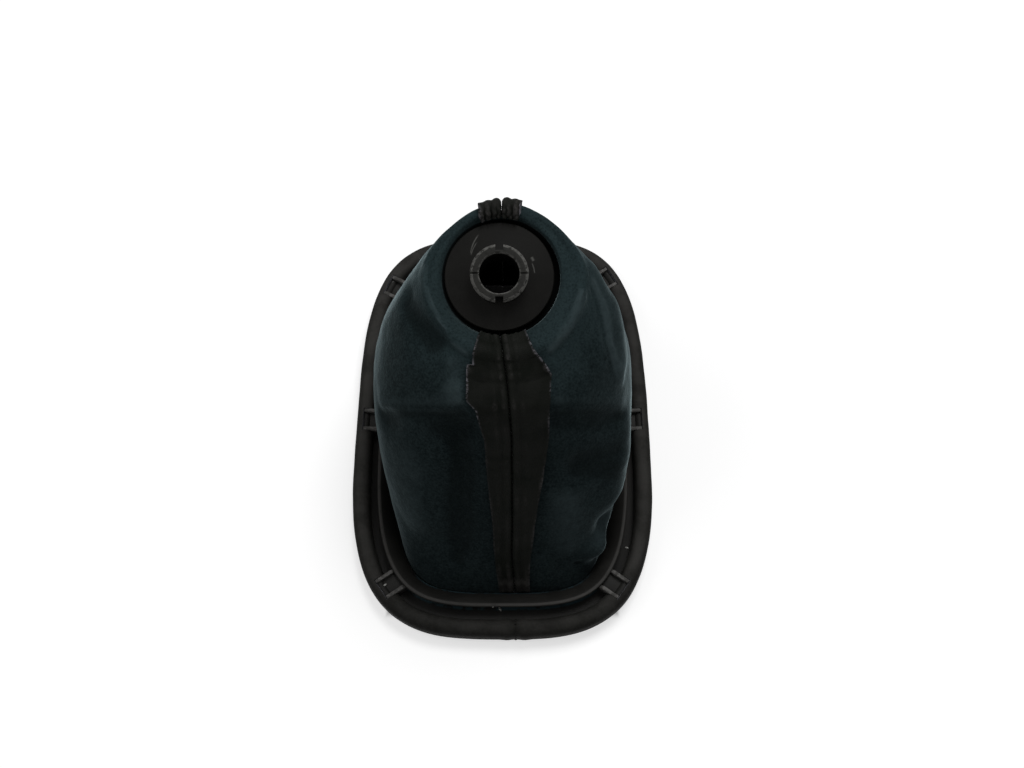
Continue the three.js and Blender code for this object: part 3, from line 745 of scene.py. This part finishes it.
def paintFrame(start, place):
    texture = place.specks(2600, 2, 0.5)
    cloud = place.specks(60, 3, 0.6)
    scuffAndGlint = place.stretched(260, 260, 900).specks(1, 4, 0.7)
    colour = (cloud * 0.7 + texture * 0.3).ramp(0.35, 0.68).mix(frameFinish["dark"], frameFinish["light"])
    # painted highlight along the top edge of the lip, broken up by scuffs
    edge = place.part("Z").ramp(0.00975, 0.00985) * scuffAndGlint.ramp(0.2, 0.6, 0.45, 1.0)
    colour = (edge * 0.8).mix(colour, frameFinish["lipEdge"])
    inset = start.mark("inset")
    lint = inset.ramp(10.2, 11.0) * place.part("Z").ramp(0.0052, 0.0044)  # caught under the lip, in front
    lint = lint * place.part("Y").ramp(-0.0560, -0.0620) * place.specks(160, 4, 0.7).ramp(0.38, 0.5)
    colour = lint.mix(colour, frameFinish["lint"])
    rough = 0.48 + cloud * 0.16
    return colour, rough, [(cloud, 0.15, 0.0005), (texture, 0.4, 0.00005)]


def paintRibs(start, place):
    texture = place.specks(2600, 2, 0.5)
    scuffAndGlint = place.specks(420, 4, 0.7)
    # painted highlight: the tops of the ribs are lighter, and paler still where scuffed
    onTop = place.part("Z").ramp(0.0062, 0.0094)
    colour = onTop.mix(frameFinish["light"], frameFinish["rib"])
    colour = (onTop * scuffAndGlint.ramp(0.42, 0.62)).mix(colour, frameFinish["ribScuffAndHighlight"])
    return colour, 0.5 + scuffAndGlint * 0.14, [(texture, 0.4, 0.00005)]


collarFinish = {"dark": (0.0034, 0.0033, 0.0029, 1), "light": (0.0064, 0.0062, 0.0056, 1),
                "top": (0.019, 0.019, 0.0175, 1), "edge": (0.088, 0.087, 0.082, 1),
                "smear": (0.070, 0.070, 0.066, 1), "bore": (0.0006, 0.0006, 0.0005, 1)}
# Smears on the disc, as radius, slope, width, angle and spread
smears = ((15.2, -8.4, 0.4, 129, 14), (13.9, -6, 0.25, 133, 11), (12.8, 0, 0.35, 14, 10), (13.6, 0, 0.8, 28, 4))


def paintCollar(start, place):
    local = place.node("Mapping", {"vector_type": "TEXTURE"},
                       {"Vector": place, "Location": tuple(value * mm for value in collarShape["place"]),
                        "Rotation": (radians(collarShape["tilt"]), 0, 0)})
    x, y, z = local.part("X"), local.part("Y"), local.part("Z")
    radius = (x * x + y * y) ** 0.5
    turn = start.maths("ARCTAN2", y, x)
    texture = place.specks(2400, 2, 0.5)
    cloud = place.specks(110, 3, 0.6)
    colour = (cloud * 0.7 + texture * 0.3).ramp(0.35, 0.68).mix(collarFinish["dark"], collarFinish["light"])
    chipsAndGlints = place.specks(700, 4, 0.7)
    # the top of the tube is paler, partly worn and partly painted highlight
    onTube = z.ramp(0.0062, 0.0071)
    colour = (onTube * chipsAndGlints.ramp(0.3, 0.55, 0.55, 1.0)).mix(colour, collarFinish["top"])
    # painted highlight along the inner and outer edges of the tube, with chipped wear
    edges = radius.ramp(0.0080, 0.0075) + radius.ramp(0.0094, 0.0098)
    colour = (onTube * edges * chipsAndGlints.ramp(0.38, 0.56)).mix(colour, collarFinish["edge"])
    # painted shade down inside the bore
    colour = (radius.ramp(0.0076, 0.0074) * z.ramp(0.0064, 0.0048) * 0.85).mix(colour, collarFinish["bore"])
    streak = start.node("CombineXYZ", {}, {"X": radius * 2600, "Y": turn * 9, "Z": z * 100}).specks(1, 3, 0.6)
    for middle, slope, width, angle, spread in smears:
        past = turn - radians(angle)
        ring = abs(radius - middle * mm - past * (slope * mm)).ramp(width * mm, 0.0)
        reach = abs(past).ramp(radians(spread), radians(spread * 0.6))
        onDisc = z.ramp(0.0006, 0.0002)
        colour = (ring * reach * onDisc * chipsAndGlints.ramp(0.25, 0.5, 0.35, 1.0)).mix(colour, collarFinish["smear"])
    rough = 0.46 + cloud * 0.18
    return colour, rough, [(streak, 0.12, 0.00005), (chipsAndGlints, onTube * 0.4, 0.0001), (texture, 0.35, 0.00005)]


def paintThread(start, place):
    twist = place.specks(2200, 2, 0.6)
    colour = twist.ramp(0.3, 0.7).mix((0.003, 0.003, 0.003, 1), (0.011, 0.011, 0.010, 1))
    return colour, 0.7 + twist * 0.1, [(twist, 0.6, 0.0001)]


def paintGlue(start, place):
    haze = place.specks(1500, 3, 0.6)
    colour = haze.ramp(0.3, 0.7).mix((0.10, 0.10, 0.095, 1), (0.32, 0.32, 0.30, 1))
    return colour, 0.3 + haze * 0.25, [(haze, 0.4, 0.0001)]


fleshSide = newFinish("flesh side", paintSuede, {
    "Specular IOR Level": 0.01, "Sheen Weight": 0.4, "Sheen Roughness": 0.3, "Sheen Tint": (0.66, 0.84, 0.88, 1)})
grainSide = newFinish("grain side", paintGrain, {"Specular IOR Level": 0.035})
cutEdge = newFinish("cut edge", paintCut, {"Specular IOR Level": 0.05})
framePlastic = newFinish("frame plastic", paintFrame, {"Specular IOR Level": 0.1})
ribPlastic = newFinish("rib plastic", paintRibs, {"Specular IOR Level": 0.1})
collarPlastic = newFinish("collar plastic", paintCollar, {"Specular IOR Level": 0.06})
threadFinish = newFinish("thread", paintThread, {"Specular IOR Level": 0.05})
glueFinish = newFinish("dried glue", paintGlue, {"Specular IOR Level": 0.5})
print("finishes made")

# Leather
rows = rowsDown()
leatherRight, rightArea = leatherPiece("leatherPanelRight", 1, rows)
leatherLeft, leftArea = leatherPiece("leatherPanelLeft", -1, rows)
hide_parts("leather_panel_right")
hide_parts("leather_panel_left")
print("leather panels shaped")


# Frame

def frameSection():
    under = wrapLine(leather["thickness"] / 2 + leather["gap"])
    floor = leather["thickness"] * 1.5 + frameShape["web"]
    rimInside = under[-1][0]
    lip, top = frameShape["lipInset"], frameShape["lipHeight"]

    def bend(start, middle, end, steps):
        share = np.linspace(0, 1, steps + 1)[:, None]
        start, middle, end = (np.array(spot, float) for spot in (start, middle, end))
        return (1 - share) ** 2 * start + 2 * share * (1 - share) * middle + share ** 2 * end

    return np.concatenate([
        under,
        [(rimInside, floor + 0.5), (rimInside + 0.15, floor + 0.15), (rimInside + 0.5, floor)],
        bend((frameShape["lipFoot"] - 0.3, floor), (13.1, 6.6), (lip, top - 0.9), 9),
        bend((lip - 0.02, top - 0.6), (lip + 0.05, top + 0.02), (lip + 0.8, top), 5),
        bend((lip + 1.3, top - 0.05), (frameShape["openingInset"] - 2, 8), under[0], 12)[:-1],
    ])


def frameRing(shape):
    reach = 200  # radius of the lathe that is then bent to the outline
    lathe(shape, [(reach - inset, height) for inset, height in frameSection()], frameShape["steps"])
    places = np.array([vert.co for vert in shape.verts])
    turn = np.arctan2(places[:, 1], places[:, 0])
    inset = reach - np.hypot(places[:, 0], places[:, 1])
    kept = shape.verts.layers.float.new("inset")
    for vert, place, value in zip(shape.verts, onFrame(turn, inset, places[:, 2]) * mm, inset):
        vert.co = place
        vert[kept] = value
    bmesh.ops.recalc_face_normals(shape, faces=shape.faces[:])


def onRim(degrees, aside):
    # x is the inset, y the height and z the way along the rim
    angle = np.radians(degrees)
    inward = Vector((*inwards(angle), 0))
    along = Vector((inward.y, -inward.x, 0))
    start = Vector((*frameOutline(angle), 0)) + along * aside
    turn = Matrix((inward, (0, 0, 1), along)).transposed().to_4x4()
    return Matrix.Scale(mm, 4) @ Matrix.Translation(start) @ turn


def addPlate(shape, corners, thickness, soft, place, finish):
    plate = bmesh.new()
    face = plate.faces.new([plate.verts.new((x, y, -thickness / 2)) for x, y in corners])
    grown = bmesh.ops.extrude_face_region(plate, geom=[face])["geom"]
    lifted = [part for part in grown if isinstance(part, bmesh.types.BMVert)]
    bmesh.ops.translate(plate, vec=(0, 0, thickness), verts=lifted)
    bmesh.ops.bevel(plate, geom=plate.edges[:], offset=soft, offset_type="OFFSET", segments=2, profile=0.5,
                    affect="EDGES", material=-1, clamp_overlap=True)
    bmesh.ops.recalc_face_normals(plate, faces=plate.faces[:])
    for face in plate.faces:
        face.material_index = finish
    bmesh.ops.transform(plate, matrix=place, verts=plate.verts[:])
    mesh = meshFrom(plate, "plate")
    shape.from_mesh(mesh)
    bpy.data.meshes.remove(mesh)


def frameMoulding():
    shape = bmesh.new()
    frameRing(shape)
    foot, lip, top = frameShape["lipFoot"], frameShape["lipInset"], frameShape["lipHeight"]
    side = [(ribs["inset"], 3), (foot + 1, 3), (foot - 1.1, 6.4), (lip + 0.9, top - 0.6),
            (lip + 0.3, ribs["height"]), (ribs["inset"], ribs["height"])]
    saddle = [(ribs["inset"], 3), (foot + 1, 3), (foot - 1.1, 6.4), (foot - 2.3, ribs["saddleHeight"]),
              (ribs["inset"], ribs["saddleHeight"])]
    for turn in ribs["pairs"]:
        addPlate(shape, saddle, ribs["spacing"] - ribs["thickness"] / 2, 0.2, onRim(turn, 0), 0)
        for end in (-1, 1):
            addPlate(shape, side, ribs["thickness"], 0.22, onRim(turn, end * ribs["spacing"] / 2), 1)
    mesh = meshFrom(shape, "frameMoulding")
    mesh.materials.append(framePlastic)
    mesh.materials.append(ribPlastic)
    mesh.shade_smooth()
    mesh.set_sharp_from_angle(angle=radians(38))
    return linked("frameMoulding", mesh)


moulding = frameMoulding()
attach(moulding, "root")
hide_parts("frame")
print("frame moulded")


# Collar

def collarProfile():
    boss, disc, tube, bore, top, lip, neck, chamfer, bead = (collarShape[key] for key in (
        "boss", "disc", "tube", "bore", "tubeHeight", "lip", "neck", "chamfer", "beadHeight"))
    under = -collarShape["discThickness"]
    foot = under - collarShape["bossLength"]
    beadTop = under - 2 * leather["gap"] - leather["thickness"] - collarShape["clampRing"] - leather["gap"]
    return [
        (bore, foot), (boss - 0.6, foot), (boss, foot + 0.6), (boss, beadTop - bead),
        (boss + collarShape["beadDepth"], beadTop - bead / 3), (boss, beadTop), (boss, under),
        (disc - 0.3, under), (disc, 0.3 + under), (disc, -0.3), (disc - 0.3, 0), (tube - neck, 0),
        (tube - neck, top - lip - neck), (tube, top - lip), (tube, top - chamfer), (tube - chamfer, top),
        (bore + 0.5, top), (bore, top - 0.5),
    ]


def cutter(width, depth, height, place):
    shape = bmesh.new()
    bmesh.ops.create_cube(shape, size=1)
    bmesh.ops.scale(shape, vec=(width, depth, height), verts=shape.verts[:])
    bmesh.ops.translate(shape, vec=place, verts=shape.verts[:])
    return linked("cutter", meshFrom(shape, "cutter"))


def collarMoulding():
    shape = bmesh.new()
    lathe(shape, collarProfile(), collarShape["steps"])
    bmesh.ops.recalc_face_normals(shape, faces=shape.faces[:])
    item = linked("collarMoulding", meshFrom(shape, "collarMoulding"))
    top, tube = collarShape["tubeHeight"], collarShape["tube"]
    cutters = []
    for end in (-1, 1):
        keyway = (0, end * (collarShape["keywayRadius"] + 2), top / 2 + 0.01)
        cutters.append(cutter(collarShape["keyway"], 4, top, keyway))
        cutters.append(cutter(tube, collarShape["nick"], collarShape["nickDepth"] * 2, (end * tube, 0, top)))
    for block in cutters:
        cut = item.modifiers.new("cut", "BOOLEAN")
        cut.operation = "DIFFERENCE"
        cut.solver = "EXACT"
        cut.object = block
    soft = item.modifiers.new("soft edges", "BEVEL")
    soft.width = collarShape["softEdge"]
    soft.segments = 2
    soft.limit_method = "ANGLE"
    soft.angle_limit = radians(28)
    apply(item, 32)
    for block in cutters:
        bpy.data.objects.remove(block)
    item.data.transform(Matrix.Scale(mm, 4) @ collarFrame)
    item.data.materials.clear()
    item.data.materials.append(collarPlastic)
    return item


collar = collarMoulding()
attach(collar, "root")
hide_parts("collar")
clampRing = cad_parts["clamp_ring"]
clampRing.data.materials.clear()
clampRing.data.materials.append(collarPlastic)
print("collar moulded")


# Stitches across the slot of each seam, and the ends of thread at the rim

stitch = {"stations": (2.2, 15), "every": 2.7, "long": 0.5, "thick": 0.2, "depth": 0.8, "lowest": 0.6,
          "knot": 0.42, "knots": (-4.2, 3.9), "knotPlace": (0.35, 4.4)}


def addBlob(shape, place, sizes, turn=None):
    made = bmesh.ops.create_uvsphere(shape, u_segments=8, v_segments=6, radius=1)["verts"]
    grow = Matrix.Diagonal((*[size * mm for size in sizes], 1))
    bmesh.ops.transform(shape, matrix=Matrix.Translation(place) @ (turn or Matrix.Identity(4)) @ grow, verts=made)


def shapeObject(shape, name, finish):
    bmesh.ops.recalc_face_normals(shape, faces=shape.faces[:])
    mesh = meshFrom(shape, name)
    mesh.materials.append(finish)
    mesh.shade_smooth()
    return linked(name, mesh)


def seamStitches(name, side):
    fine = np.linspace(*stitch["stations"], 2000)
    line = skin(fine, seamAngle(side, fine))
    length = np.concatenate([[0], np.cumsum(np.linalg.norm(np.diff(line, axis=0), axis=1))])
    station = np.interp(np.arange(1, length[-1], stitch["every"]), length, fine)
    angle = seamAngle(side, station)
    spots = skin(station, angle)
    normals = normalOf(skin, station, angle)
    across = skin(station, angle + 1e-3) - skin(station, angle - 1e-3)
    spots = spots - normals * stitch["depth"]
    spots[:, 2] = np.maximum(spots[:, 2], stitch["lowest"])
    shape = bmesh.new()
    for spot, normal, way in zip(spots, normals, across):
        xAxis = Vector(way).normalized()
        zAxis = Vector(normal)
        turn = Matrix((xAxis, zAxis.cross(xAxis), zAxis)).transposed().to_4x4()
        addBlob(shape, Vector(spot) * mm, (stitch["long"], stitch["thick"], stitch["thick"]), turn)
    if side < 0:
        root = np.array([float(rootStation)])
        for aside in stitch["knots"]:
            turn = float((seamAngle(side, root) + angleFor(aside, side, root))[0])
            addBlob(shape, Vector(onFrame(turn, *stitch["knotPlace"])) * mm, (stitch["knot"],) * 3)
    return shapeObject(shape, name, threadFinish)


for side, name, node in ((-1, "frontSeamStitches", "front_seam_thread"),
                         (1, "rearSeamStitches", "rear_seam_thread")):
    row = seamStitches(name, side)
    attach(row, "root")
    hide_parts(node)

# Specks of dried glue in the channel and on the lip, as place and size
specks = [((-45.2, -60.6, 6.0), 0.6), ((-45.8, -63.5, 7.9), 0.55), ((-3.6, -72.3, 9.4), 0.5),
          ((-0.9, -72.1, 3.9), 0.6), ((49.1, -47.4, 3.9), 0.55), ((34.3, -65.7, 3.9), 0.5),
          ((-45.1, 64.4, 8.2), 0.6), ((-6.4, -72.0, 9.3), 0.35)]
shape = bmesh.new()
for number, (place, size) in enumerate(specks):
    lean = Matrix.Rotation(radians(40 * number), 4, "Z")
    addBlob(shape, Vector(place) * mm, (size * 1.5, size * 0.8, size * 0.5), lean)
glue = shapeObject(shape, "glueSpecks", glueFinish)
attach(glue, "root")
print("stitches and glue added")

# Floor and light
stage = {"size": 6, "floor": (0.5, 0.5, 0.5, 1), "lift": 0.6, "inside": (0.045, 0.073), "world": 0.3, "aim": 0.05,
         "lamps": (((0.35, 0.8, 1.5), 0.9, 18), ((-1.1, 0.15, 1.3), 1, 5))}  # place, size and power


def seenOr(tree, hidden, seen):
    # one value for what the camera sees, also by way of gloss or glass, and another for the rest
    path = tree.nodes.new("ShaderNodeLightPath")
    camera, glossy, through = (Wire(tree, path.outputs["Is %s Ray" % kind])
                               for kind in ("Camera", "Glossy", "Transmission"))
    return (camera + glossy + through).ramp(0.0, 1.0, hidden, seen)


def addFloor():
    shape = bmesh.new()
    bmesh.ops.create_grid(shape, x_segments=1, y_segments=1, size=stage["size"])
    mesh = meshFrom(shape, "floor")
    material = bpy.data.materials.new("pale floor")
    material.use_nodes = True
    tree = material.node_tree
    shader = tree.nodes["Principled BSDF"]
    for title, value in (("Base Color", stage["floor"]), ("Roughness", 0.9), ("Specular IOR Level", 0),
                         ("Emission Color", (1, 1, 1, 1))):
        shader.inputs[title].default_value = value
    seen = seenOr(tree, 0.0, stage["lift"])
    place = seen.node("TexCoord", {}, {}, 3)  # none of it inside the frame's opening
    across, along = (abs(place.part(letter)) / half for letter, half in zip("XY", stage["inside"]))
    outside = seen.maths("MAXIMUM", across, along).ramp(0.97, 1.03, 0.003, 1.0)
    seen.feed(shader.inputs["Emission Strength"], seen * outside)
    mesh.materials.append(material)
    item = linked("floor", mesh)
    item.location.z = -0.0001


def addWorld():
    world = bpy.data.worlds.new("studio")
    bpy.context.scene.world = world
    world.use_nodes = True
    tree = world.node_tree
    back = tree.nodes["Background"]
    back.inputs["Color"].default_value = (1, 1, 1, 1)
    seen = seenOr(tree, stage["world"], 1.0)
    seen.feed(back.inputs["Strength"], seen)


def addLamps():
    for number, (place, size, power) in enumerate(stage["lamps"]):
        data = bpy.data.lights.new("lamp%d" % number, "AREA")
        data.shape = "DISK"
        data.size = size
        data.energy = power
        item = linked(data.name, data)
        item.location = place
        item.rotation_euler = (Vector((0, 0, stage["aim"])) - Vector(place)).to_track_quat("-Z", "Y").to_euler()


addFloor()
addWorld()
addLamps()
bpy.context.scene.view_settings.view_transform = "Standard"
print("stage set")
